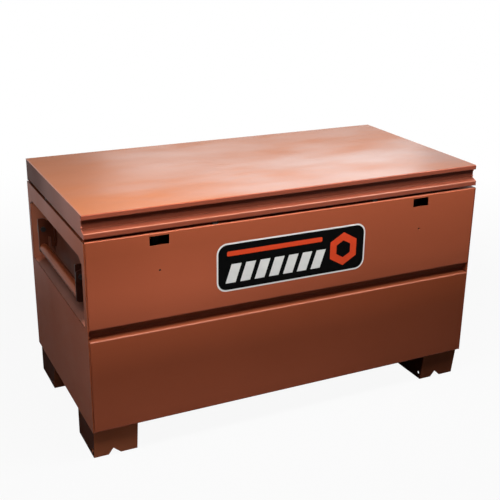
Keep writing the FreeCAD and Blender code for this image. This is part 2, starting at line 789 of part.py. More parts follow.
def make_lid_panel():
    """One folded sheet: front flange, rib, ledge, groove wall, lip, top and back flange."""
    body = new_body("lid_panel")
    ledge_z = rib_top + lid_ledge
    under = mitre(lid_ledge, lid_groove - rib_setback) * steel
    outer_bends = [
        (rib_y, lid_bottom), (rib_y, rib_top), (wall_y + steel, ledge_z - under),
        (wall_y + steel, lip_bottom + steel), (lip_y, lip_bottom), (lip_y, height),
        (back, height),
    ]
    inner_bends = [
        (rib_y + steel, lid_bottom + steel), (rib_y + steel, rib_top - under),
        (wall_y, ledge_z), (wall_y, lip_bottom),
        (lip_y + steel, lip_bottom + steel), (lip_y + steel, height - steel),
        (back - steel, height - steel),
    ]
    section = sketch_on(body, "YZ_Plane")
    add_outline(section, [
        (rib_y + lid_return, lid_bottom),
        outer_bends[0], outer_bends[1], inner_bends[2], inner_bends[3],
        outer_bends[4], outer_bends[5], outer_bends[6],
        (back, lid_bottom), (back - steel, lid_bottom),
        inner_bends[6], inner_bends[5], inner_bends[4],
        outer_bends[3], outer_bends[2], inner_bends[1], inner_bends[0],
        (rib_y + lid_return, lid_bottom + steel),
    ])
    panel = add_feature(body, "Pad", section, (lid_half + lip_overhang) * 2)
    panel = add_fillet(body, panel, outer_bends, 0, bend + steel)
    add_fillet(body, panel, inner_bends, 0, bend)

    # Below the lip, and behind it under the top, the sheet stops between the end plates.
    ends = sketch_on(body, "YZ_Plane", -lid_half - lip_overhang)
    trim = [
        (front - steel, lid_bottom - steel), (back + steel, lid_bottom - steel),
        (back + steel, height - steel), (wall_y, height - steel),
        (wall_y, lip_bottom - seam), (front - steel, lip_bottom - seam),
    ]
    add_outline(ends, trim)
    shoulder = lip_overhang + steel + seam
    add_feature(body, "Pocket", ends, shoulder, midplane=False, reverse=True)
    ends = sketch_on(body, "YZ_Plane", lid_half + lip_overhang)
    add_outline(ends, trim)
    add_feature(body, "Pocket", ends, shoulder, midplane=False)
    return body


def make_lid_end():
    """The left end plate of the lid, cut to the front's notched profile, with a flange."""
    body = new_body("left_lid_end")
    plate = sketch_on(body, "YZ_Plane", -lid_half)
    add_outline(plate, [
        (rib_y, lid_bottom), (rib_y, rib_top), (wall_y, rib_top + lid_ledge),
        (wall_y, height - steel), (back, height - steel), (back, lid_bottom),
    ])
    web = add_feature(body, "Pad", plate, steel, midplane=False)
    flange = sketch_on(body, "YZ_Plane", -lid_half)
    add_rectangle(flange, rib_y + lid_return + seam, back - steel - seam,
                  lid_bottom, lid_bottom + steel)
    web = add_feature(body, "Pad", flange, lid_return, midplane=False)
    add_fillet(body, web, [(-lid_half, lid_bottom)], 1, bend)
    return body


def make_lid_stiffener():
    """A folded hat section under the middle of the lid, brims against the top sheet."""
    body = new_body("lid_stiffener")
    brim_z = height - steel
    crown_z = brim_z - hat_height
    half = hat_width / 2
    section = sketch_on(body, "YZ_Plane")
    add_outline(section, [
        (-half - hat_brim, brim_z), (-half + steel, brim_z),
        (-half + steel, crown_z + steel), (half - steel, crown_z + steel),
        (half - steel, brim_z), (half + hat_brim, brim_z),
        (half + hat_brim, brim_z - steel), (half, brim_z - steel),
        (half, crown_z), (-half, crown_z), (-half, brim_z - steel),
        (-half - hat_brim, brim_z - steel),
    ])
    hat = add_feature(body, "Pad", section, (side - hat_margin) * 2)
    add_fillet(body, hat, [(-half, crown_z), (half, crown_z)], 0, bend + steel)


def make_tongue():
    """The left lock tongue: a plate welded inside the lid's groove wall."""
    body = new_body("left_lock_tongue")
    along, up = shackle_place()
    near, far = along - tongue_depth / 2, along + tongue_depth / 2
    seat = wall_y + steel
    low = rim_height - tongue_reach
    root = rib_top + lid_ledge
    plate = sketch_on(body, "YZ_Plane")
    add_outline(plate, [
        (near, low), (far, low), (far, lip_bottom), (seat, lip_bottom),
        (seat, root), (near, root - lid_ledge),
    ])
    add_feature(body, "Pad", plate, tongue_thick)
    hole = sketch_on(body, "YZ_Plane")
    add_circle(hole, along, up, shackle_radius)
    drilled = add_feature(body, "Pocket", hole, tongue_thick * 3)
    add_fillet(body, drilled, [(near, low), (far, low)], 0, tongue_depth / 4)
    place(body, -lock_offset, 0, 0)
    return body


# ---------------------------------------------------------------------------------------
# The bail handles
# ---------------------------------------------------------------------------------------
grip_span = depth - grip_margin * 2
arm_inner = grip_span / 2
ear_inner = arm_inner + arm_thick + arm_play
arm_face = middle + arm_inner
ear_face = middle + ear_inner


def make_grip():
    """The left grip: a tube between the two arms."""
    start = (pivot_x, middle - arm_inner, pivot_height - arm_drop)
    outside = cylinder("grip_outside", start, "y", grip_radius, grip_span)
    bore = cylinder("grip_bore", start, "y", grip_radius - grip_wall, grip_span)
    return keep(cut("left_handle_grip", outside, bore), "left_handle_grip")


def make_arm():
    """One arm of the left handle: a flat bar whose tail is shaped to stop the swing.

    When the handle is raised, the tail's end lies flat along the bracket's foot. Its inner
    corner is a quarter circle, so that the tail swings clear until then, and its outer corner
    is tight, so that the handle goes no further."""
    body = doc.addObject("PartDesign::Body", "handle_arm")
    body.Label = "handle_arm"
    half = arm_width / 2
    low = pivot_height - arm_drop - half
    high = pivot_height + arm_tail
    outer, inner = pivot_x - half, pivot_x + half
    outline = sketch_on(body, "XZ_Plane", -arm_face)
    add_outline(outline, [
        (outer, low + arm_corner), (outer + arm_corner, low), (inner - arm_corner, low),
        (inner, low + arm_corner), (inner, high), (outer, high),
    ])
    add_feature(body, "Pad", outline, arm_thick, midplane=False, reverse=True)
    holes = sketch_on(body, "XZ_Plane", -arm_face)
    add_circle(holes, pivot_x, pivot_height, hole_radius)
    plate = add_feature(body, "Pocket", holes, arm_thick * 3)
    plate = add_fillet(body, plate, [(inner, high)], 1, half - seam)
    add_fillet(body, plate, [(outer, high)], 1, tail_corner)
    return body


def make_bracket():
    """One pivot bracket of the left handle: an ear on a foot that also stops the arm."""
    body = doc.addObject("PartDesign::Body", "handle_bracket")
    body.Label = "handle_bracket"
    back_x = -side + pocket_depth
    half = arm_width / 2
    low = sill_top + bracket_lift
    high = pivot_height + bracket_top
    shank_x = -side + bracket_shank
    foot = sketch_on(body, "XZ_Plane", bracket_toe - ear_face)
    add_rectangle(foot, back_x - foot_plate, back_x, sill_top + foot_lift, high)
    add_feature(body, "Pad", foot, bracket_toe + bracket_foot, midplane=False, reverse=True)
    ear = sketch_on(body, "XZ_Plane", -ear_face)
    add_outline(ear, [
        (back_x, low), (shank_x, low), (shank_x, pivot_height - bracket_top),
        (pivot_x - half, pivot_height - half), (pivot_x - half, pivot_height + half),
        (back_x, high),
    ])
    plate = add_feature(body, "Pad", ear, ear_thick, midplane=False, reverse=True)
    corners = [(pivot_x - half, pivot_height - half), (pivot_x - half, pivot_height + half)]
    plate = add_fillet(body, plate, corners, 1, half / 2)
    hole = sketch_on(body, "XZ_Plane", -ear_face)
    add_circle(hole, pivot_x, pivot_height, hole_radius)
    add_feature(body, "Pocket", hole, ear_thick * 3)
    return body


def make_pivot_bolt():
    """One pivot bolt of the left handle, its hexagon head inside the arm."""
    head_y = arm_face - arm_play
    corner = bolt_size / 2
    head = hexagon("bolt_head", (pivot_x, head_y - bolt_head, pivot_height), "y",
                   corner, bolt_head)
    shank = cylinder("bolt_shank", (pivot_x, head_y, pivot_height), "y", pivot_radius,
                     ear_face + ear_thick + bolt_head - head_y)
    return fuse("pivot_bolt", head, shank)


def make_pivot_nut():
    """One nut of the left handle, tight on the bracket's ear."""
    start = (pivot_x, ear_face + ear_thick, pivot_height)
    block = hexagon("nut_block", start, "y", bolt_size / 2, bolt_head)
    bore = cylinder("nut_bore", start, "y", hole_radius, bolt_head)
    return cut("pivot_nut", block, bore)


def pair(label, part):
    """A part of the left handle and its mirror image across the depth, as one node."""
    return group(label, part, mirrored(label + "_twin", part, Vector(0, 1, 0), middle))


# ---------------------------------------------------------------------------------------
# The lid stays
#
# The stay's pivot on the lid and the stud on the body are equally far from the hinge axis.
# The three make an isosceles triangle, so the stay turns by exactly half the lid's angle and
# the stud stays on the slot's middle line.
# ---------------------------------------------------------------------------------------
stud_face = -side + pocket_depth + steel
stay_face = stud_face + bracket_thick + arm_play
stay_pivot = (hinge_y - stay_radius * cosine(stay_lift), hinge_z + stay_radius * sine(stay_lift))
stud = (hinge_y - stay_radius * cosine(stud_angle), hinge_z - stay_radius * sine(stud_angle))
slot_start = stay_radius * 2 * sine((stay_lift + stud_angle) / 2)
slot_end = stay_radius * 2 * sine((stay_lift + stud_angle + lid_opening) / 2)


def make_stay():
    """The left stay: a flat bar with a pivot hole and a long slot, laid from pivot to stud."""
    body = new_body("left_stay")
    outline = sketch_on(body, "YZ_Plane")
    add_obround(outline, 0, slot_end + stay_width / 4, stay_width / 2)
    add_feature(body, "Pad", outline, stay_thick, midplane=False)
    slot = sketch_on(body, "YZ_Plane")
    add_obround(slot, slot_start, slot_end, pivot_radius + slot_clearance)
    add_feature(body, "Pocket", slot, stay_thick * 3)
    hole = sketch_on(body, "YZ_Plane")
    add_circle(hole, 0, 0, hole_radius)
    add_feature(body, "Pocket", hole, stay_thick * 3)
    straight_down = FreeCAD.Rotation(Vector(-1, 0, 0), 90)
    body.Placement = FreeCAD.Placement(Vector(), straight_down)
    place(body, stay_face, *stay_pivot)
    bind(body, "Placement.Rotation.Angle", 90 - (stud_angle - stay_lift) / 2)
    return body


def make_stud():
    """The left stud: a base welded to the back of the pocket, a shank and a head."""
    base = hexagon("stud_base", (stud_face, *stud), "x", stud_flange, bracket_thick)
    shank = cylinder("stud_shank", (stud_face, *stud), "x", pivot_radius,
                     bracket_thick + arm_play * 2 + stay_thick + stud_cap)
    head = hexagon("stud_head", (stay_face + stay_thick + arm_play, *stud), "x",
                   stud_flange, stud_cap)
    return keep(fuse("left_stay_stud", base, shank, head), "left_stay_stud")


def make_stay_bracket():
    """The left bracket that hangs the stay from the lid's top sheet."""
    body = new_body("left_stay_bracket")
    along, up = stay_pivot
    near, far = along - stay_tab / 2, along + stay_tab / 2
    top = height - steel
    web = sketch_on(body, "YZ_Plane", stud_face)
    low = up - stay_width / 2
    add_outline(web, [
        (near, top), (near, up), (along - stay_width / 2, low),
        (along + stay_width / 2, low), (far, up), (far, top),
    ])
    add_feature(body, "Pad", web, bracket_thick, midplane=False)
    flange = sketch_on(body, "YZ_Plane", stud_face)
    add_rectangle(flange, near, far, top - bracket_thick, top)
    add_feature(body, "Pad", flange, stay_flange, midplane=False)
    hole = sketch_on(body, "YZ_Plane", stud_face)
    add_circle(hole, along, up, hole_radius)
    add_feature(body, "Pocket", hole, bracket_thick * 3)
    return body


def make_stay_screw():
    """The left shoulder screw through bracket and stay, with its nut."""
    start = stud_face - stud_cap
    grip_length = bracket_thick + stay_thick + arm_play * 2
    outer = hexagon("screw_nut", (start, *stay_pivot), "x", stud_flange, stud_cap)
    shank = cylinder("screw_shank", (start, *stay_pivot), "x", pivot_radius,
                     grip_length + stud_cap * 2)
    inner = hexagon("screw_head", (stud_face + grip_length, *stay_pivot), "x",
                    stud_flange, stud_cap)
    return keep(fuse("left_stay_screw", outer, shank, inner), "left_stay_screw")


# ---------------------------------------------------------------------------------------
# Build
# ---------------------------------------------------------------------------------------
make_front_panel()
make_back_panel()
make_floor()
right_of(make_end_panel())
right_of(make_handle_pocket())
make_feet()
right_of(make_lock_housing())
make_staples()
make_bumpers()

make_leaf("hinge_body_leaf", -1, 0)
make_leaf("hinge_lid_leaf", 1, 1)
make_hinge_pin()

make_lid_panel()
right_of(make_lid_end())
make_lid_stiffener()
right_of(make_tongue())

right_of(make_grip())
right_of(pair("left_handle_arms", make_arm()))
right_of(pair("left_handle_brackets", make_bracket()))
right_of(pair("left_pivot_bolts", make_pivot_bolt()))
right_of(pair("left_pivot_nuts", make_pivot_nut()))

right_of(make_stay())
right_of(make_stud())
right_of(make_stay_bracket())
right_of(make_stay_screw())

doc.recompute()

# ---------------------------------------------------------------------------------------
# Check and export
# ---------------------------------------------------------------------------------------
faults = [item.Label for item in doc.Objects
          if "Invalid" in item.State or "Error" in item.State]
for node in nodes:
    if node.Shape.isNull() or not node.Shape.isValid() or not node.Shape.Solids:
        faults.append(node.Label)
if faults:
    raise RuntimeError("These objects failed: " + ", ".join(sorted(set(faults))))

os.makedirs("parts", exist_ok=True)
for node in nodes:
    node.Shape.exportStep(f"parts/{node.Label}.step")
    print(f"{node.Label}: {len(node.Shape.Solids)} solids, {node.Shape.Volume / 1000:.1f} cm3")
print(f"{len(nodes)} nodes")
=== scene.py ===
# %% [markdown]
# # A steel jobsite storage box
#
# The box is folded from sheet steel and powder coated in a metallic brown. This lesson loads
# the box's engineering model as a fixed frame, gives every panel a finish, adds the small
# things that a workshop adds last (the label, the stitch welds on the hinge and the tack welds
# in the grooves), and sets up a plain studio. Each cell prints what it made.

# %% Load the frame
import json
import math

import bpy
import bmesh
from mathutils import Matrix, Vector


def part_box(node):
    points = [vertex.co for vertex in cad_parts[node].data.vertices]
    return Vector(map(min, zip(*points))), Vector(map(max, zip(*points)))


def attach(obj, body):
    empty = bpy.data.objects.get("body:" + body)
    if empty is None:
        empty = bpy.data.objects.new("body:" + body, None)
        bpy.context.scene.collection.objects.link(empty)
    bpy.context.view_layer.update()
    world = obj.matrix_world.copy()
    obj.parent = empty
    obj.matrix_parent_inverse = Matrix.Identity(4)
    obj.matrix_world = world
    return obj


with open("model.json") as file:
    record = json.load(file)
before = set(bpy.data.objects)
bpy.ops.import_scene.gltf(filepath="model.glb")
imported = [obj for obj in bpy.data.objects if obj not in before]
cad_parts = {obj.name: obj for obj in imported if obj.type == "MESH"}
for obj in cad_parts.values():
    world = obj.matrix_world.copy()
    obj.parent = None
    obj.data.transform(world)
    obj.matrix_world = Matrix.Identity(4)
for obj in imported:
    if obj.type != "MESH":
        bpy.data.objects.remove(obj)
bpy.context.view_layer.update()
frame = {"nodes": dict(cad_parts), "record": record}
scene = bpy.context.scene
nodes = frame["nodes"]
subparts = frame["record"]["subparts"]

# %% [markdown]
# ## The camera
#
# A product view is usually taken from above one corner with a long lens, so the upright
# edges stay nearly parallel. A camera can be aimed with a Track To constraint, but then a
# slight roll is awkward. Here the three axes of its matrix are worked out from an azimuth, an
# elevation and a roll, which makes each of the three easy to change by itself. The Standard
# view transform shows each colour as it is, where a filmic one would pale it.

# %% Camera
# The sensor in millimetres, and the end of the view in metres.
sensor_width = 36
view_end = 100


def aim_camera(azimuth, elevation, roll, distance, target, lens):
    """A camera that looks at target from azimuth and elevation, in degrees."""
    turn, tilt, lean = (math.radians(angle) for angle in (azimuth, elevation, roll))
    away = Vector((
        math.sin(turn) * math.cos(tilt), -math.cos(turn) * math.cos(tilt), math.sin(tilt)))
    right = Vector((math.cos(turn), math.sin(turn), 0))
    up = away.cross(right)
    rolled_right = right * math.cos(lean) + up * math.sin(lean)
    rolled_up = up * math.cos(lean) - right * math.sin(lean)
    camera = bpy.data.objects.new("camera", bpy.data.cameras.new("camera"))
    camera.data.lens = lens
    camera.data.sensor_width = sensor_width
    camera.data.clip_end = view_end
    axes = Matrix((rolled_right, rolled_up, away)).transposed().to_4x4()
    camera.matrix_world = Matrix.Translation(Vector(target) + away * distance) @ axes
    scene.collection.objects.link(camera)
    return camera


scene.camera = aim_camera(
    azimuth=-26.07, elevation=20.48, roll=0.79, distance=2.8115,
    target=(-0.0002, -0.004, 0.4222), lens=64.95)
scene.view_settings.view_transform = "Standard"
print("camera at", [round(value, 3) for value in scene.camera.matrix_world.translation])

# %% [markdown]
# ## Writing shader maths as Python
#
# A material in Blender is a graph of nodes. Graphs with many Math nodes are slow to read, so
# this small class wraps one output socket and lets Python's own operators add the nodes:
# `1 - mask * 0.5` makes a Multiply and a Subtract. Colours and vectors don't use it, because
# a Math node would turn them grey. The two masks that this lesson needs most, a soft step and
# a soft band, are methods of it.

# %% The Value class
class Value:
    """One number socket of a node tree, with Python's operators."""

    def __init__(self, graph, socket):
        self.graph = graph
        self.socket = socket

    def maths(self, operation, *numbers, clamp=False):
        """Adds a Math node."""
        settings = {"operation": operation, "use_clamp": clamp}
        return self.graph.node("ShaderNodeMath", settings, *numbers).value()

    def __add__(self, other):
        return self.maths("ADD", self, other)

    def __sub__(self, other):
        return self.maths("SUBTRACT", self, other)

    def __rsub__(self, other):
        return self.maths("SUBTRACT", other, self)

    def __mul__(self, other):
        return self.maths("MULTIPLY", self, other)

    def __abs__(self):
        return self.maths("ABSOLUTE", self)

    __radd__ = __add__
    __rmul__ = __mul__

    def above(self, edge, soft):
        """0 below edge, 1 above it, with a soft step between."""
        ramp = (self - edge + soft / 2) * (1 / soft)
        return ramp.maths("ADD", ramp, 0, clamp=True)

    def within(self, low, high, soft):
        """1 between low and high, 0 outside them."""
        return self.above(low, soft) * (1 - self.above(high, soft))


print("numbers can be written as sums and products")

# %% [markdown]
# Every other node comes from one method of the Graph class. It takes the node's type, then
# its settings, and then what its sockets get: numbers, or outputs of other nodes.

# %% The Graph class
class Made:
    """A node that was just made, and its outputs."""

    def __init__(self, graph, node):
        self.graph = graph
        self.node = node

    def value(self, name=0):
        return Value(self.graph, self.node.outputs[name])

    def __getitem__(self, name):
        return self.node.outputs[name]


class Graph:
    """A node tree, and the one method that adds nodes to it."""

    def __init__(self, tree):
        self.tree = tree

    def node(self, kind, settings, *places, **sockets):
        """Adds a node, sets its settings first, then its sockets by place or by name."""
        node = self.tree.nodes.new(kind)
        for setting, choice in settings.items():
            setattr(node, setting, choice)
        named = {name.replace("_", " "): given for name, given in sockets.items()}
        for name, given in [*enumerate(places), *named.items()]:
            self.join(node.inputs[name], given)
        return Made(self, node)

    def join(self, socket, given):
        """Feeds a socket from a Value, from another socket or from a plain number."""
        if isinstance(given, Value):
            given = given.socket
        if isinstance(given, bpy.types.NodeSocket):
            self.tree.links.new(given, socket)
        else:
            socket.default_value = given


print("one method adds every other node")

# %% [markdown]
# A Finish is a graph that belongs to a material, with a Principled shader to feed. Its
# patterns are laid out by the Object coordinates and the Object normal of the Texture
# Coordinate node. World coordinates would do for a box that never moves, but the lid opens,
# and the paint has to go with it. A Mix node has its sockets for numbers, vectors and colours
# under the same names, so the colour ones are picked by their places in the list.

# %% The Finish class
mix_factor, mix_first, mix_second, mix_result = 0, 6, 7, 2


class Finish(Graph):
    """A new material with one Principled shader."""

    def __init__(self, name, **constants):
        self.material = bpy.data.materials.new(name)
        self.material.use_nodes = True
        super().__init__(self.material.node_tree)
        self.shader = self.tree.nodes["Principled BSDF"]
        for socket, number in constants.items():
            self.shader.inputs[socket.replace("_", " ")].default_value = number

    def feed(self, name, given):
        """Feeds one of the shader's own sockets."""
        self.join(self.shader.inputs[name], given)

    def place(self):
        """Where a point of the surface is on the resting object, in metres."""
        return self.node("ShaderNodeTexCoord", {})["Object"]

    def axis(self, name):
        """One coordinate of that point."""
        return self.node("ShaderNodeSeparateXYZ", {}, Vector=self.place()).value(name)

    def facing(self, name):
        """How squarely the surface faces along one of the object's axes, either way."""
        normal = self.node("ShaderNodeTexCoord", {})["Normal"]
        return abs(self.node("ShaderNodeSeparateXYZ", {}, Vector=normal).value(name))

    def noise(self, scale, detail=2, stretch=(1, 1, 1), shift=(0, 0, 0)):
        """Soft noise from 0 to 1. A stretch above 1 squeezes it along that axis."""
        mapping = self.node(
            "ShaderNodeMapping", {}, Vector=self.place(), Scale=stretch, Location=shift)
        return self.node(
            "ShaderNodeTexNoise", {}, Vector=mapping["Vector"], Scale=scale,
            Detail=detail).value("Fac")

    def blend(self, mask, low, high):
        """A colour that goes from low to high as mask goes from 0 to 1."""
        mix = self.node("ShaderNodeMix", {"data_type": "RGBA"}).node
        for place, given in ((mix_factor, mask), (mix_first, low), (mix_second, high)):
            if isinstance(given, tuple):
                given = (*given, 1)
            self.join(mix.inputs[place], given)
        return mix.outputs[mix_result]

    def bump(self, height, strength, distance):
        """Roughens the surface's normal by a height from 0 to 1."""
        node = self.node(
            "ShaderNodeBump", {}, Height=height, Strength=strength, Distance=distance)
        self.feed("Normal", node["Normal"])


print("shader helpers ready")

# %% [markdown]
# ## Metallic powder coat
#
# Powder coat is sprayed on dry and baked, so it flows into a skin with a fine orange-peel
# texture. This one carries metal flakes, which make it shine copper where light grazes it and
# go dark brown where it doesn't. One could paint that with a real flake texture, but from a
# few metres the flakes only show as a broad, slightly cloudy sheen. So the coat is partly
# metallic, and a clear coat whose weight follows two sizes of soft noise gives the clouds: a
# clear coat reflects little when it is seen square on and a lot at a grazing angle, which is
# why the lid looks pale and the front deep brown. The orange peel is a bump.
#
# The rest of what a coat does depends on where it is, so it is told by functions that give a
# value at each point. A cover says how the spray passes overlapped: where the powder lies
# thin the coat is pale, and where it lies full the coat is dark. On several panels the cover
# also carries painted light and shade, pale on one side of the panel and dark on the other.
# In grooves and on faces that the lamps hardly reach, the colour is darkened and the clear
# coat taken off, which is painted shade. On the outside of a fold the colour is painted pale,
# which is a painted highlight, and the clear coat is made glossier. A pressed sheet also bows
# a little beside its folds.

# %% Powder coat
cloud_share = 0.75
peel_share = 0.35
peel_depth = 0.0001
clear_roughness = 0.24
# fold_gloss is the clear coat added on the outside of folds. The fold highlight colour is a
# painted highlight, and the painted shade colour is the colour of painted shade.
fold_gloss = 0.35
fold_highlight_colour = (0.330, 0.100, 0.055)
painted_shade_colour = (0.045, 0.012, 0.006)


def powder_coat(name, thin_and_lit, full_and_shaded, metallic, roughness, gloss, sheen=(1, 1, 1), specular=0.08,
                plain=None, cover_and_painted_light=None, painted_shade=None, shade_share=0.45, fold_highlight=None, bow=None):
    """Brown metallic powder coat between the colours thin_and_lit and full_and_shaded.

    gloss is the clear coat's weight in the dullest and in the glossiest cloud, sheen is the
    colour of the flakes at a grazing angle, and specular is how much the skin under the clear
    coat reflects. cover_and_painted_light turns the clouds into the share of thin_and_lit, and
    on some panels adds painted light and shade: thin_and_lit is then a lit colour and
    full_and_shaded a shaded one. plain is a pair: how much a point lies where the coat has no
    clouds, and its colour there. painted_shade says how much a point lies in painted shade, in
    a groove or on a face that the lamps hardly reach, and shade_share how much of the colour is
    darkened there. fold_highlight says how much a point lies on the outside of a folded edge,
    where the colour is painted pale as a highlight, and bow how far the sheet stands out, in
    metres."""
    coat = Finish(name, Specular_IOR_Level=specular, Specular_Tint=(*sheen, 1),
                  Coat_Roughness=clear_roughness)
    clouds = coat.noise(scale=3.1, detail=3, stretch=(0.75, 1.5, 1.0))
    smears = coat.noise(scale=11, stretch=(0.45, 1, 1.4), shift=(3, 1, 2))
    peel = coat.noise(scale=620, detail=1)
    flow = coat.noise(scale=38)
    patch = clouds.above(0.5, 0.30) * cloud_share + smears * (1 - cloud_share)
    # Some covers carry painted light and shade: they make a panel pale on one side and dark on
    # the other.
    if cover_and_painted_light:
        patch = cover_and_painted_light(coat, patch)
    colour = coat.blend(patch, full_and_shaded, thin_and_lit)
    dullest, glossiest = gloss
    shine = patch * (glossiest - dullest) + dullest
    relief = peel * (peel_depth * peel_share) + flow * (peel_depth * (1 - peel_share))
    if plain:
        where, plain_colour = plain
        colour = coat.blend(where(coat), colour, plain_colour)
    # A painted highlight: on the outside of folds the colour is painted pale, and the clear
    # coat is made glossier.
    if fold_highlight:
        wear_and_highlight = fold_highlight(coat)
        colour = coat.blend(wear_and_highlight, colour, fold_highlight_colour)
        shine = shine + wear_and_highlight * fold_gloss
    # Painted shade: in grooves and on faces that the lamps hardly reach, the colour is darkened
    # and the clear coat taken off.
    if painted_shade:
        shade_mask = painted_shade(coat)
        colour = coat.blend(shade_mask * shade_share, colour, painted_shade_colour)
        shine = shine * (1 - shade_mask)
    if bow:
        relief = relief + bow(coat)
    coat.feed("Base Color", colour)
    # Noise is 0.5 on average, and half of each factor is taken off again to keep the mean.
    coat.feed("Roughness", smears * 0.10 + peel * 0.05 + roughness - 0.075)
    coat.feed("Metallic", metallic + clouds * 0.1 - 0.05)
    coat.feed("Coat Weight", shine)
    # The relief is in metres already, so the bump takes it as it is.
    coat.bump(relief, strength=1.0, distance=1.0)
    return coat.material


print("powder coat ready, with an orange peel", peel_depth, "m deep")

# %% [markdown]
# ## The coats of the body, the ends, the feet and the handles
#
# Most of the box could share one material, but small parts are sprayed by themselves and get
# coats of their own. The feet and the handles' arms have a nearly black full colour, which is
# painted shade; the left front foot is painted pale, which is painted light, and the rear arms
# keep more of their brown. The sides of the feet, like the narrow strips of the ends that face
# up or down, are painted darker still, which is painted shade too. A low specular keeps their
# sides dark, where a glossy skin would mirror the floor and turn grey.

# %% Coats of the body, the ends, the feet and the handles
def foot_painted_light(coat, patch):
    """Painted light and shade: the left front foot is painted palest, as if lit, and the others
    dark, as if shaded.
    """
    palest = (1 - coat.axis("X").above(0, 0.1)) * (1 - coat.axis("Y").above(0, 0.1))
    return palest * 0.8 + patch * 0.2


def arm_painted_shade(coat, patch):
    """Painted shade: the handles' arms are painted nearly black, and the rear ones keep more of
    their brown.
    """
    return coat.axis("Y").above(0.05, 0.05) * 0.40 + patch * 0.15


pale_brown, deep_brown = (0.345, 0.084, 0.035), (0.300, 0.068, 0.024)
body_coat = powder_coat(
    "body_coat", thin_and_lit=pale_brown, full_and_shaded=deep_brown,
    metallic=0.20, roughness=0.40, gloss=(0.02, 0.20))
# The ends' faces that face up or down get painted shade.
end_coat = powder_coat(
    "end_coat", thin_and_lit=pale_brown, full_and_shaded=deep_brown,
    metallic=0.18, roughness=0.40, gloss=(0.02, 0.18), specular=0.05,
    painted_shade=lambda coat: coat.facing("Z"), shade_share=0.80)
# The feet's nearly black full colour and their darker sides are painted shade, and the paler
# left front foot is painted light.
foot_coat = powder_coat(
    "foot_coat", thin_and_lit=(0.470, 0.138, 0.062), full_and_shaded=(0.110, 0.031, 0.014),
    metallic=0.05, roughness=0.50, gloss=(0.0, 0.05), specular=0.01, cover_and_painted_light=foot_painted_light,
    painted_shade=lambda coat: coat.facing("X"), shade_share=0.97)
grip_coat = powder_coat(
    "grip_coat", thin_and_lit=(0.270, 0.064, 0.023), full_and_shaded=(0.190, 0.042, 0.014),
    metallic=0.20, roughness=0.36, gloss=(0.04, 0.20), specular=0.03)
# The arms' nearly black full colour is painted shade.
handle_coat = powder_coat(
    "handle_coat", thin_and_lit=(0.190, 0.048, 0.022), full_and_shaded=(0.022, 0.007, 0.005),
    metallic=0.20, roughness=0.40, gloss=(0.10, 0.40), cover_and_painted_light=arm_painted_shade)
print("five powder coats")

# %% [markdown]
# ## Where the front's folds are
#
# The front panel is one sheet with a groove pressed across it, and its coat has to know
# where. A fold could be painted by hand on an unwrapped panel, but heights above the floor
# and depths behind the front face are exact, and they need no unwrapping. A mask is then a
# product of soft steps, each with its edge and its width in metres.

# %% Heights and depths on the front
front_low, front_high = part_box("front_panel")
face_y = front_low[1]
groove_low, groove_top = 0.360, 0.393
groove_middle = (groove_low + groove_top) / 2


def behind_face(coat):
    """How far a point lies behind the front panel's face, in metres."""
    return coat.axis("Y") - face_y


def off_face(coat):
    """0 at the front face, and 1 from a few millimetres behind it."""
    return behind_face(coat).above(0.004, 0.002)


print("the front's groove from", groove_low, "to", groove_top, "m above the floor")

# %% [markdown]
# ## The front panel's coat
#
# The upper part is painted pale, most of all left of the middle, and low down on the right
# the coat is dark: this is painted light and shade. The groove is painted dark, which is
# painted shade. The ledge under the groove is painted pale along its folded edge, and so, a
# little, is the rim, which is a painted highlight. Beside the groove the sheet leans in and out
# by a few millimetres. Modelling that would cost the panel many faces, and it only shows as a
# slow change of tone, so the bump gives it.

# %% Coat of the front panel
upper_lean, lower_lean = 0.0022, 0.0088


def front_painted_light(coat, patch):
    """Painted light and shade: palest across the upper left, and darkest low down on the right.
    """
    height, across = coat.axis("Z"), coat.axis("X")
    upper = height.above(groove_middle, 0.02)
    palest = (1 - height.above(0.54, 0.10)) * (1 - across.above(-0.05, 0.50))
    left_edge = 1 - across.above(-0.50, 0.20)
    upper_cover = palest * 0.30 + 0.66 - left_edge * 0.18
    left = 1 - across.above(0.25, 0.90)
    bottom = 1 - height.above(0.19, 0.12)
    lower_cover = left * (bottom * 0.20 + 0.22) + 0.10
    return upper * upper_cover + (1 - upper) * lower_cover + patch * 0.08


def front_groove_shade(coat):
    """Painted shade: 1 deep in the front panel's groove."""
    groove = coat.axis("Z").within(groove_low - 0.004, groove_top + 0.004, 0.002)
    return behind_face(coat).above(0.0075, 0.011) * groove


def front_fold_highlight(coat):
    """A painted highlight: 1 on the outside of the ledge's folded edge, and a quarter on the
    rim's.
    """
    height = coat.axis("Z")
    ledge = height.within(groove_low - 0.0026, groove_low + 0.0012, 0.001)
    rim = height.above(front_high[2] - 0.0025, 0.001) * 0.25
    return (ledge + rim) * (1 - off_face(coat))


def front_bow(coat):
    """The face leans in above the groove and out below its ledge."""
    height = coat.axis("Z")
    inwards = 1 - height.above(groove_top + 0.030, 0.060)
    outwards = height.above(groove_low - 0.050, 0.100)
    upper = height.above(groove_middle, 0.001)
    return (inwards * inwards * upper * -upper_lean
            + outwards * outwards * (1 - upper) * -lower_lean)


# The front's colour carries painted light and shade from its cover, painted shade in its groove
# and a painted highlight on its folded edges.
front_coat = powder_coat(
    "front_coat", thin_and_lit=(0.450, 0.105, 0.047), full_and_shaded=(0.140, 0.030, 0.009),
    metallic=0.20, roughness=0.40, gloss=(0.02, 0.20),
    cover_and_painted_light=front_painted_light, painted_shade=front_groove_shade, fold_highlight=front_fold_highlight, bow=front_bow)
print("the front leans by", upper_lean, "m above its groove and", lower_lean, "m below")

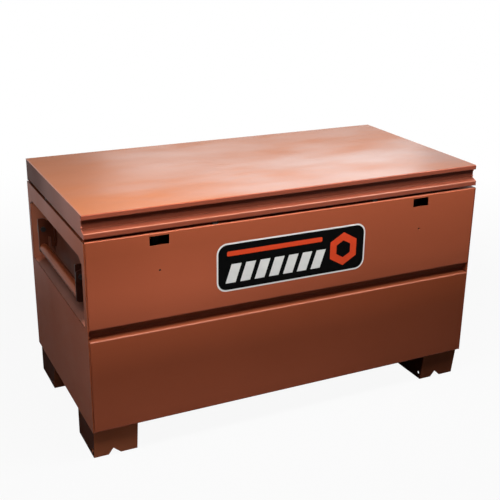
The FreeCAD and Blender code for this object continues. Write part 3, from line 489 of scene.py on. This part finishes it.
# %% [markdown]
# ## The lid's coat
#
# The lid is seen at a more grazing angle than the rest, so its clear coat does most of the
# work: the paint is deep orange, and the stains on it are glossy and look pale. Plain noise
# gives stains that are alike all over, so a few soft steps along the lid make the front right
# the palest, and the left end and the back right the most orange. The lid's front has a small
# groove of its own, between a rib below and a lip above. The front, the groove and the inside
# get no clouds. The back of that groove is painted dark, which is painted shade, and the top of
# the rib and the ends of the lid's top are painted pale, which is a painted highlight.

# %% Coat of the lid
lid_low, lid_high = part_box("lid_panel")
rib_height, lip_height = 0.0145, 0.0144
rib_top = lid_low[2] + rib_height
lip_low = lid_high[2] - lip_height


def lid_cover(coat, patch):
    """Stains and streaks, palest at the front right and weakest at the left end."""
    stains = coat.noise(scale=4.0, detail=5, stretch=(0.9, 1.6, 1.0), shift=(5.2, 0.4, 0))
    streaks = coat.noise(scale=9.0, detail=4, stretch=(0.5, 2.2, 1.0), shift=(1, 2, 0))
    mixed = stains.above(0.49, 0.26) * 0.62 + streaks.above(0.50, 0.30) * 0.28 + patch * 0.1
    across, depth = coat.axis("X"), coat.axis("Y")
    left = 1 - across.above(-0.40, 0.50)
    back_right = depth.above(0.02, 0.16) * across.above(-0.20, 0.40)
    front_right = (1 - depth.above(-0.02, 0.24)) * across.above(0.0, 0.40)
    return mixed * (0.76 - left * 0.66) * (1 - back_right * 0.35) + front_right * 0.46


def lid_plain(coat):
    """1 on the lid's front and back, in its groove and inside it."""
    below_top = 1 - coat.axis("Z").above(lid_high[2] - 0.0008, 0.0004)
    inside = below_top * off_face(coat)
    return 1 - (1 - coat.facing("Y")) * (1 - inside)


def lid_groove_shade(coat):
    """Painted shade: 1 at the back of the ledge in the groove under the lid's lip, and half on
    its wall.
    """
    depth = behind_face(coat)
    groove = coat.axis("Z").within(rib_top - 0.002, lip_low + 0.001, 0.001)
    deep = depth.above(0.0105, 0.013) * (1 - depth.above(0.022, 0.001)) * groove
    return deep * (coat.facing("Z") * 0.5 + 0.5)


def lid_fold_highlight(coat):
    """A painted highlight: 1 on the folded edge at the top of the lid's lower rib, and along
    the ends of its top.
    """
    fold_highlight = coat.axis("Z").within(rib_top - 0.0024, rib_top + 0.0014, 0.001)
    ends = abs(coat.axis("X")).above(lid_high[0] - 0.003, 0.002) * coat.facing("Z")
    return fold_highlight * (1 - off_face(coat)) + ends


# Painted shade in the lid's groove, and a painted highlight on its rib's folded edge and the
# ends of its top.
lid_coat = powder_coat(
    "lid_coat", thin_and_lit=(0.225, 0.071, 0.033), full_and_shaded=(0.355, 0.100, 0.025),
    metallic=0.30, roughness=0.38, gloss=(0.04, 0.73), sheen=(1.0, 0.66, 0.50),
    plain=(lid_plain, (0.290, 0.068, 0.036)), cover_and_painted_light=lid_cover, painted_shade=lid_groove_shade,
    shade_share=0.85, fold_highlight=lid_fold_highlight)
print("the lid's groove from", round(rib_top, 4), "to", round(lip_low, 4), "m above the floor")

# %% [markdown]
# ## The coats of the lid's ends and the handle pockets
#
# Both are small panels with one strong change of tone along them, which is painted light and
# shade: the lid's end plates are painted paler towards the front, and the pockets pale on their
# slanting ends and dark elsewhere. So each has a cover of one soft step, and a wide distance
# between its thin and its full colour.

# %% Coats of the lid's ends and the handle pockets
pocket_middle = (front_low[1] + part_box("back_panel")[1][1]) / 2


def lid_end_painted_light(coat, patch):
    """Painted light: the end plates are painted paler towards the front."""
    return (1 - coat.axis("Y").above(-0.05, 0.50)) * 0.8 + patch * 0.2


def pocket_painted_light(coat, patch):
    """Painted light and shade: the slanting ends of a handle pocket are painted pale, and the
    rest of it dark.
    """
    return abs(coat.axis("Y") - pocket_middle).above(0.240, 0.020) * 0.8 + patch * 0.2


# The end plates' pale front and dark back are painted light and shade.
lid_end_coat = powder_coat(
    "lid_end_coat", thin_and_lit=(0.350, 0.100, 0.060), full_and_shaded=(0.110, 0.026, 0.014),
    metallic=0.05, roughness=0.38, gloss=(0.0, 0.42), specular=0.01, cover_and_painted_light=lid_end_painted_light)
# The pockets' dark full colour is painted shade, and their pale slanting ends are painted
# light.
pocket_coat = powder_coat(
    "pocket_coat", thin_and_lit=(0.420, 0.130, 0.070), full_and_shaded=(0.100, 0.026, 0.012),
    metallic=0.20, roughness=0.45, gloss=(0.02, 0.20), cover_and_painted_light=pocket_painted_light)
print("the pockets' middle at", round(pocket_middle, 4), "m")

# %% [markdown]
# ## Zinc, rubber and black steel
#
# The screws, studs and stays are zinc plated: grey, slightly blue-yellow, with a crystalline
# patchiness that Voronoi cells give well. The pads under the lid are plain black rubber with
# a dusty bloom, and the lock parts are black too, but oily and a little worn. All three are
# seen small, so in each one fine noise serves the roughness and the bump.

# %% Zinc, rubber and black steel
def zinc_plate(name):
    """Dull zinc plating with faint crystals."""
    zinc = Finish(name)
    crystals = zinc.node(
        "ShaderNodeTexVoronoi", {"feature": "F1"}, Vector=zinc.place(), Scale=190.0)
    tone = crystals.value("Distance") * 0.8
    handling = zinc.noise(scale=60, detail=3)
    zinc.feed("Base Color", zinc.blend(tone, (0.30, 0.30, 0.29), (0.52, 0.51, 0.47)))
    zinc.feed("Metallic", 0.95)
    zinc.feed("Roughness", handling * 0.22 + 0.30)
    zinc.bump(handling, strength=0.08, distance=0.0005)
    return zinc.material


def black_rubber(name):
    """Moulded rubber with a grey bloom."""
    rubber = Finish(name)
    bloom = rubber.noise(scale=90, detail=4)
    rubber.feed("Base Color", rubber.blend(bloom, (0.012, 0.012, 0.012), (0.040, 0.038, 0.036)))
    rubber.feed("Roughness", bloom * 0.15 + 0.70)
    rubber.bump(bloom, strength=0.2, distance=0.0004)
    return rubber.material


def black_steel(name):
    """Black oxide on steel, worn bright in places."""
    black = Finish(name)
    wear_and_highlight = black.noise(scale=45, detail=4)
    wear = wear_and_highlight.above(0.68, 0.12)
    black.feed("Base Color", black.blend(wear, (0.010, 0.009, 0.009), (0.080, 0.076, 0.072)))
    black.feed("Metallic", wear * 0.6 + 0.2)
    black.feed("Roughness", wear_and_highlight * 0.2 + 0.45)
    black.bump(wear_and_highlight, strength=0.08, distance=0.0004)
    return black.material


print("zinc, rubber and black steel ready")

# %% [markdown]
# ## Every node gets its finish
#
# The record says which material slot each node of the frame takes, so a table from slot to
# finish dresses most of the box. The panels whose coats were made for them alone stand in a
# second table, by node, which is looked up first.

# %% Finishes on the nodes
slot_finishes = {
    "body_paint": body_coat,
    "lid_paint": lid_coat,
    "foot_paint": foot_coat,
    "handle_paint": handle_coat,
    "zinc": zinc_plate("zinc_plate"),
    "rubber": black_rubber("black_rubber"),
    "black_steel": black_steel("black_oxide"),
}
node_finishes = {"front_panel": front_coat}
for hand in ("left", "right"):
    node_finishes[hand + "_handle_pocket"] = pocket_coat
    node_finishes[hand + "_lid_end"] = lid_end_coat
    node_finishes[hand + "_end_panel"] = end_coat
    node_finishes[hand + "_handle_grip"] = grip_coat
for part in subparts:
    mesh = nodes[part["node"]].data
    mesh.materials.clear()
    finish = node_finishes.get(part["node"], slot_finishes[part["material_slot"]])
    mesh.materials.append(finish)
print("finished", len(subparts), "nodes,", len(node_finishes), "of them in coats of their own")

# %% [markdown]
# ## Helpers for thin pieces
#
# The label is vinyl film, far thinner than anything worth extruding by hand. Every part of it
# is a flat outline given a thickness, so one function takes an outline on the front panel and
# makes the film. Rounded rectangles and regular polygons come from two more.

# %% Outlines
corner_steps = 8


def rounded_rectangle(left, right, low, high, radius):
    """The corners of a rounded rectangle, in order."""
    points = []
    centres = [(right - radius, low + radius, -90), (right - radius, high - radius, 0),
               (left + radius, high - radius, 90), (left + radius, low + radius, 180)]
    for across, up, start in centres:
        for step in range(corner_steps + 1):
            angle = math.radians(start + 90 * step / corner_steps)
            points.append((across + radius * math.cos(angle), up + radius * math.sin(angle)))
    return points


def polygon(across, up, radius, sides, turn):
    """The corners of a regular polygon, turned by some degrees."""
    angles = [math.radians(turn) + 2 * math.pi * side / sides for side in range(sides)]
    return [(across + radius * math.cos(a), up + radius * math.sin(a)) for a in angles]


print("outlines ready, with", corner_steps, "steps to a round corner")

# %% [markdown]
# A piece of the scene is a mesh that rides on a body of the frame, so that it moves with the
# lid or stays with the chest. The same few lines end the making of each piece, film or weld.

# %% Pieces and film
def make_piece(name, shape, material, body, smooth=False):
    """Turns a bmesh into an object that rides on a body and takes a material."""
    bmesh.ops.recalc_face_normals(shape, faces=shape.faces)
    mesh = bpy.data.meshes.new(name)
    shape.to_mesh(mesh)
    shape.free()
    mesh.materials.append(material)
    for face in mesh.polygons:
        face.use_smooth = smooth
    piece = bpy.data.objects.new(name, mesh)
    scene.collection.objects.link(piece)
    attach(piece, body)


def join_rings(shape, first, second):
    """Quads between two closed rings of as many points."""
    for number in range(len(first)):
        after = (number + 1) % len(first)
        shape.faces.new((first[number], first[after], second[after], second[number]))


def film(name, outlines, back, thickness, material):
    """Flat film on the front panel. An outline may be a pair: the shape and its hole."""
    shape = bmesh.new()
    depths = (face_y - back, face_y - back - thickness)
    for outline in outlines:
        loops = outline if isinstance(outline, tuple) else (outline,)
        rings = [[[shape.verts.new((u, y, v)) for u, v in loop] for y in depths]
                 for loop in loops]
        for rear, near in rings:
            join_rings(shape, rear, near)
        if len(rings) == 1:
            for face in rings[0]:
                shape.faces.new(face)
        else:
            for outer, inner in zip(*rings):
                join_rings(shape, outer, inner)
    make_piece(name, shape, material, "chest_body")


print("pieces and film ready")

# %% [markdown]
# ## The label
#
# A box like this carries a large vinyl label on its front: black, with a white edge and warm
# red accents. This one is a plain workshop motif: a hexagon nut and a row of slanted bars.
# The film has a satin gloss, so it catches the light differently from the paint.

# %% Vinyl
film_roughness = 0.50


def vinyl(name, colour):
    """Printed vinyl film, faintly rippled."""
    print_film = Finish(name, Specular_IOR_Level=0.05)
    ripple = print_film.noise(scale=55)
    deep = tuple(channel * 0.85 for channel in colour)
    print_film.feed("Base Color", print_film.blend(ripple, deep, colour))
    print_film.feed("Roughness", ripple * 0.12 + film_roughness - 0.06)
    print_film.bump(ripple, strength=0.10, distance=0.0004)
    return print_film.material


black_film = vinyl("black_film", (0.002, 0.002, 0.002))
white_film = vinyl("white_film", (0.74, 0.73, 0.71))
red_film = vinyl("red_film", (0.66, 0.062, 0.020))
print("three colours of vinyl")

# %% [markdown]
# The label is a stack of films, as if each colour were cut and laid by itself: the white one
# shows as the edge of the black one, and the motif lies on top. It could be one film with an
# image on it, but cut films stay sharp from close by. Each lies on top of the last, so that
# no two visible faces share a plane and flicker.

# %% The label's films
# In metres. The nut's middle is measured from the label's right edge, the bars and the stripe
# from its left one, the bars' heights from its bottom and the stripe's from its top.
label_left, label_right, label_low, label_high = -0.248, 0.220, 0.438, 0.578
layer = 0.00006
label_radius, field_radius = 0.030, 0.026
white_edge = 0.0045
nut_radius, nut_hole, nut_margin = 0.050, 0.026, 0.072
bar_count, bar_width, bar_gap, bar_slant = 7, 0.030, 0.014, 0.018
bars_margin, bars_low, bars_high = 0.026, 0.024, 0.078
stripe_start, stripe_end, stripe_low, stripe_high = 0.030, 0.325, 0.038, 0.024
stripe_radius = 0.004


def inset(distance, radius):
    """The label's outline, moved inwards."""
    return rounded_rectangle(label_left + distance, label_right - distance,
                             label_low + distance, label_high - distance, radius)


def slanted_bars(start, low, high):
    """A row of parallelograms."""
    bars = []
    for number in range(bar_count):
        left = start + number * (bar_width + bar_gap)
        bars.append([(left, low), (left + bar_width, low),
                     (left + bar_width + bar_slant, high), (left + bar_slant, high)])
    return bars


film("label_base", [inset(0, label_radius)], 0, layer * 2, white_film)
film("label_field", [inset(white_edge, field_radius)], layer * 2, layer, black_film)
middle_up = (label_low + label_high) / 2
nut = tuple(polygon(label_right - nut_margin, middle_up, radius, sides=6, turn=30)
            for radius in (nut_radius, nut_hole))
film("label_nut", [nut], layer * 3, layer, red_film)
bars = slanted_bars(label_left + bars_margin, label_low + bars_low, label_low + bars_high)
film("label_bars", bars, layer * 3, layer, white_film)
stripe = rounded_rectangle(
    label_left + stripe_start, label_left + stripe_end,
    label_high - stripe_low, label_high - stripe_high, stripe_radius)
film("label_stripe", [stripe], layer * 3, layer, red_film)
print("label of five films,", round(label_right - label_left, 3), "m wide")

# %% [markdown]
# ## Welds
#
# A weld bead is a puddle of metal that froze in overlapping ripples, which could be sculpted
# one by one. A low dome with rings across it shows them well enough: each bead is a half
# ellipsoid, stretched along the seam, whose height rises and falls a little on the way.

# %% Weld beads
bead_rings, bead_sides = 18, 8
bead_ripples, ripple_height = 7, 0.10
bead_tip = 0.03


def weld_row(name, middles, direction, outward, length, width, height, material, body):
    """A row of weld beads along direction, standing outward, one round each of middles."""
    shape = bmesh.new()
    along, out = Vector(direction), Vector(outward)
    across = along.cross(out)
    for middle in middles:
        loops = []
        for ring in range(bead_rings + 1):
            share = ring / bead_rings
            taper = math.sin(math.pi * min(max(share, bead_tip), 1 - bead_tip)) ** 0.5
            ripple = 1 + ripple_height * math.cos(share * math.pi * 2 * bead_ripples)
            centre = Vector(middle) + along * (share - 0.5) * length
            loop = []
            for side in range(bead_sides + 1):
                angle = math.pi * side / bead_sides
                loop.append(shape.verts.new(
                    centre + across * math.cos(angle) * width / 2 * taper
                    + out * math.sin(angle) * height * taper * ripple))
            loops.append(loop)
        for before, after in zip(loops, loops[1:]):
            for side in range(bead_sides):
                shape.faces.new((before[side], before[side + 1], after[side + 1], after[side]))
            shape.faces.new((before[-1], before[0], after[0], after[-1]))
        shape.faces.new(loops[0])
        shape.faces.new(loops[-1])
    make_piece(name, shape, material, body, smooth=True)


print("weld beads ready, with", bead_ripples, "ripples each")

# %% [markdown]
# The hinge leaves are stitch welded: short beads at a steady pitch, which hold a long leaf
# without warping it as one long bead would. Each leaf's row is one piece, because it rides on
# one body: the lower row on the chest, the upper one on the lid.

# %% Stitch welds on the hinge
body_leaf_low, body_leaf_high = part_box("hinge_body_leaf")
lid_leaf_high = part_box("hinge_lid_leaf")[1]
panel_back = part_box("back_panel")[1][1]
stitches = 12
pitch = (body_leaf_high[0] - body_leaf_low[0]) / stitches
stitch_places = [body_leaf_low[0] + pitch * (number + 0.5) for number in range(stitches)]
for name, level, body, slot, leaf_coat in (
        ("body_leaf_welds", body_leaf_low[2], "chest_body", "body_paint", body_coat),
        ("lid_leaf_welds", lid_leaf_high[2], "lid", "lid_paint", lid_coat)):
    weld_row(name, [(across, panel_back, level) for across in stitch_places],
             direction=(1, 0, 0), outward=(0, 1, 0), length=0.026, width=0.006, height=0.0022,
             material=leaf_coat, body=body)
print(stitches * 2, "stitch welds on the hinge")

# %% [markdown]
# Both grooves are open at their ends until the end panels and the lid's end plates close
# them, and there a welder sets two short upright tacks one above the other in each corner.
# They are the same beads as on the hinge, shorter and standing on the groove's wall, so the
# same function makes them.

# %% Tack welds in the grooves' ends
tack_inset = 0.0015
tack_count = 0
for name, node, wall, low, high, body, slot, groove_coat in (
        ("groove_tacks", "front_panel", 0.0140, groove_low + 0.010, groove_top - 0.006,
         "chest_body", "body_paint", body_coat),
        ("lid_groove_tacks", "left_lid_end", 0.0185, rib_top + 0.012, lip_low - 0.004,
         "lid", "lid_paint", lid_end_coat)):
    groove_end = abs(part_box(node)[0][0]) - tack_inset
    corners = [(groove_end * hand, face_y + wall, level)
               for hand in (-1, 1) for level in (low, high)]
    weld_row(name, corners, direction=(0, 0, 1), outward=(0, -1, 0), length=0.007,
             width=0.006, height=0.0025, material=groove_coat, body=body)
    tack_count += len(corners)
print(tack_count, "tack welds in the grooves' ends")

# %% [markdown]
# ## The studio
#
# A white floor and a white surround, with the light from large soft panels. Light Path tells
# apart the rays that reach them. Rays from the camera see both as white. Rays that a glossy
# or clear surface sends on see them white too, but dimmer towards the front, where a real
# studio is dark round the camera: that is what gives metal its dark side. All other rays find
# little light there, so that the panels alone shape the box.

# %% The dark side of the studio
studio_dim = 0.08


def seen_behind(graph, position, turn, fade):
    """1 where a place or direction lies behind the box, falling to a dim value in front."""
    along = graph.node("ShaderNodeSeparateXYZ", {}, Vector=position).value("Y")
    return along.above(turn, fade) * (1 - studio_dim) + studio_dim


print("reflections keep", studio_dim, "of the white in front of the box")

# %% [markdown]
# ### The floor
#
# A plane that only glows would look flat, and one that is only lit would come out grey. This
# floor mixes the two: the camera finds a few percent of its own shading near the box, and
# with that the box's shadow, and none of it far off. In reflections the floor close to the
# box shows only its own dim shading, as it would under a real box. The light that the floor
# throws back on the box is cut to a share, so that the undersides stay dark.

# %% Floor
half_floor = 14
floor_drop = 0.0005
floor_bounce = 0.30
near_white = 0.93

floor_shape = bmesh.new()
bmesh.ops.create_grid(floor_shape, x_segments=1, y_segments=1, size=half_floor)
floor_mesh = bpy.data.meshes.new("floor")
floor_shape.to_mesh(floor_mesh)
floor_shape.free()
floor = bpy.data.objects.new("floor", floor_mesh)
floor.location.z = -floor_drop
scene.collection.objects.link(floor)

paper = Finish("studio_floor", Base_Color=(0.36, 0.36, 0.36, 1), Roughness=0.9,
               Specular_IOR_Level=0.0)
floor.data.materials.append(paper.material)
from_box = paper.node(
    "ShaderNodeVectorMath", {"operation": "LENGTH"}, paper.place()).value("Value")
floor_rays = paper.node("ShaderNodeLightPath", {})
floor_mirrored = floor_rays.value("Is Glossy Ray") + floor_rays.value("Is Transmission Ray")
far_off = from_box.above(2.0, 1.4) * (1 - near_white) + near_white
clear_of_box = from_box.above(1.30, 0.90)
whiteness = (
    floor_rays.value("Is Camera Ray") * far_off
    + floor_mirrored * clear_of_box * seen_behind(paper, paper.place(), turn=1.8, fade=2.4))
glow = paper.node("ShaderNodeEmission", {}, Color=(1, 1, 1, 1), Strength=1.0)
seen = paper.node(
    "ShaderNodeMixShader", {}, whiteness, paper.shader.outputs["BSDF"], glow["Emission"])
darkness = paper.node("ShaderNodeEmission", {}, Color=(0, 0, 0, 1), Strength=0.0)
surface = paper.node(
    "ShaderNodeMixShader", {}, floor_rays.value("Is Diffuse Ray") * (1 - floor_bounce),
    seen["Shader"], darkness["Emission"])
paper.join(paper.tree.nodes["Material Output"].inputs["Surface"], surface["Shader"])
print("a floor of", half_floor * 2, "m")

# %% [markdown]
# ### The surround
#
# The world does for the sky what the floor does below it. It is white to the camera and in
# reflections, and to all other rays it is a faint even light that keeps the shadows from
# going black.

# %% Surround
ambient = 0.06
world = bpy.data.worlds.new("studio")
scene.world = world
world.use_nodes = True
surround = Graph(world.node_tree)
direction = surround.node("ShaderNodeTexCoord", {})["Generated"]
world_rays = surround.node("ShaderNodeLightPath", {})
direct = world_rays.value("Is Camera Ray")
mirrored = world_rays.value("Is Glossy Ray") + world_rays.value("Is Transmission Ray")
strength = (direct + mirrored * seen_behind(surround, direction, turn=0.1, fade=1.6)
            + (1 - direct - mirrored) * ambient)
background = surround.tree.nodes["Background"]
background.inputs["Color"].default_value = (1, 1, 1, 1)
surround.join(background.inputs["Strength"], strength)
print("a white surround that lights the box at", ambient)

# %% [markdown]
# ### The light panels
#
# Soft boxes are large, so their shadows are soft. One long panel hangs low over the front
# edge: it rakes down the front, which is therefore brightest at the top, and grazes the lid,
# which shines. The others only fill in, and two of them stand low behind and beside the box,
# because the back and the right end would be nearly black without them. A glowing plane could
# do the same, but an area light renders with less noise.

# %% Light panels
def light_panel(name, place, target, size, power):
    """A rectangular soft light that faces a target."""
    lamp = bpy.data.lights.new(name, "AREA")
    lamp.shape = "RECTANGLE"
    lamp.size, lamp.size_y = size
    lamp.energy = power
    holder = bpy.data.objects.new(name, lamp)
    holder.location = place
    aim = Vector(target) - Vector(place)
    holder.rotation_euler = aim.to_track_quat("-Z", "Y").to_euler()
    scene.collection.objects.link(holder)


panels = [
    ("overhead", (-0.10, -0.66, 1.36), (-0.10, -0.30, 0.4), (2.55, 0.30), 34),
    ("back", (1.5, 2.9, 1.9), (0.1, 0, 0.7), (2.2, 1.1), 15),
    ("front", (1.6, -3.4, 1.9), (0.1, 0, 0.5), (1.6, 1.2), 1),
    ("left", (-2.6, -0.8, 1.3), (-0.6, 0, 0.5), (1.0, 1.0), 4),
    ("low_back", (0.2, 2.6, 0.42), (0, 0.3, 0.40), (2.0, 0.45), 14),
    ("low_right", (2.8, 0.1, 0.42), (0.6, 0, 0.40), (1.0, 0.45), 6),
]
for name, place, target, size, power in panels:
    light_panel(name, place, target, size, power)
print(len(panels), "light panels")
